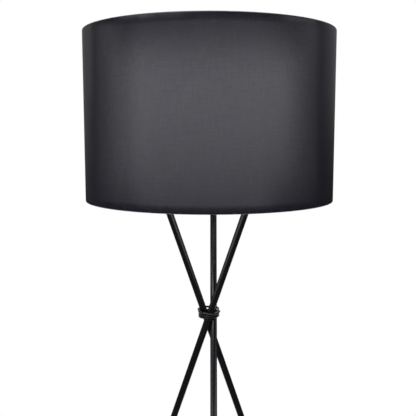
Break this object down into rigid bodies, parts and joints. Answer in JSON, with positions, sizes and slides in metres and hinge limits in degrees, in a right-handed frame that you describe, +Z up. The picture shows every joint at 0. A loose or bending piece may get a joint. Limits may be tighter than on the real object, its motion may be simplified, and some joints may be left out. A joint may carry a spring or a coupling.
{
  "type": "tripod floor lamp",
  "caption": "Tripod floor lamp: crossed tube legs tied by a wire binding carry a hub, a screw lampholder, a bulb and a drum shade.",
  "frame": {"origin": "on the floor under the lamp's centre line", "axes": "+Z up along the centre line, the front foot towards -Y, +X to the right"},
  "size_m": [0.675, 0.613, 1.54],
  "materials": {
    "black_powder_coat": "gloss",
    "black_binding_wire": "gloss",
    "zinc_plated_steel": "satin",
    "black_rubber": "matt",
    "black_thermoplastic": "satin",
    "white_insulator": "gloss",
    "contact_brass": "satin",
    "nickel_plate": "satin",
    "black_insulator": "gloss",
    "white_housing": "satin",
    "aluminium_board": "satin",
    "opal_diffuser": "satin",
    "white_enamelled_steel": "gloss",
    "white_liner": "satin",
    "black_fabric": "fine weave with a slight sheen"
  },
  "bodies": {
    "stand": {"front_leg_lower_tube": "black_powder_coat", "front_leg_upper_tube": "black_powder_coat", "front_leg_joint_stud": "zinc_plated_steel", "front_leg_top_stud": "zinc_plated_steel", "front_foot": "black_rubber", "right_leg_lower_tube": "black_powder_coat", "right_leg_upper_tube": "black_powder_coat", "right_leg_joint_stud": "zinc_plated_steel", "right_leg_top_stud": "zinc_plated_steel", "right_foot": "black_rubber", "left_leg_lower_tube": "black_powder_coat", "left_leg_upper_tube": "black_powder_coat", "left_leg_joint_stud": "zinc_plated_steel", "left_leg_top_stud": "zinc_plated_steel", "left_foot": "black_rubber", "cable_outlet_grommet": "black_rubber", "waist_binding": "black_binding_wire", "hub_plate": "black_powder_coat", "leg_top_washers": "zinc_plated_steel", "leg_top_nuts": "zinc_plated_steel", "holder_stud": "zinc_plated_steel", "holder_stud_washer": "zinc_plated_steel", "holder_stud_nut": "zinc_plated_steel", "lampholder_cap": "black_thermoplastic", "lampholder_skirt": "black_thermoplastic", "lampholder_core": "white_insulator", "centre_contact_spring": "contact_brass", "side_contact_spring": "contact_brass", "terminal_screws": "zinc_plated_steel"},
    "shade": {"shade_fitter_ring": "white_enamelled_steel", "shade_spider_arms": "white_enamelled_steel", "shade_bottom_wire": "white_enamelled_steel", "shade_top_wire": "white_enamelled_steel", "shade_liner": "white_liner", "shade_cover": "black_fabric"},
    "shade_ring": {"shade_ring": "black_thermoplastic"},
    "bulb_contact": {"bulb_tip_contact": "nickel_plate"},
    "bulb": {"bulb_insulator": "black_insulator", "bulb_screw_cap": "nickel_plate", "bulb_body": "white_housing", "bulb_led_board": "aluminium_board", "bulb_globe": "opal_diffuser"}
  },
  "joints": [
    {"name": "shade_turn", "type": "hinge", "parent": "stand", "child": "shade", "pos_m": [0, 0, 1.301], "axis": [0, 0, 1], "continuous": true},
    {"name": "shade_ring_turn", "type": "hinge", "parent": "stand", "child": "shade_ring", "pos_m": [0, 0, 1.306], "axis": [0, 0, 1], "range_deg": [0, 720]},
    {"name": "bulb_travel", "type": "slide", "parent": "stand", "child": "bulb_contact", "axis": [0, 0, 1], "range_m": [0, 0.0115]},
    {"name": "bulb_turn", "type": "hinge", "parent": "bulb_contact", "child": "bulb", "pos_m": [0, 0, 1.31], "axis": [0, 0, 1], "range_deg": [0, 1080]}
  ],
  "couplings": [
    {"joint": "bulb_travel", "follows": "bulb_turn", "m_per_rad": 0.00057773}
  ]
}
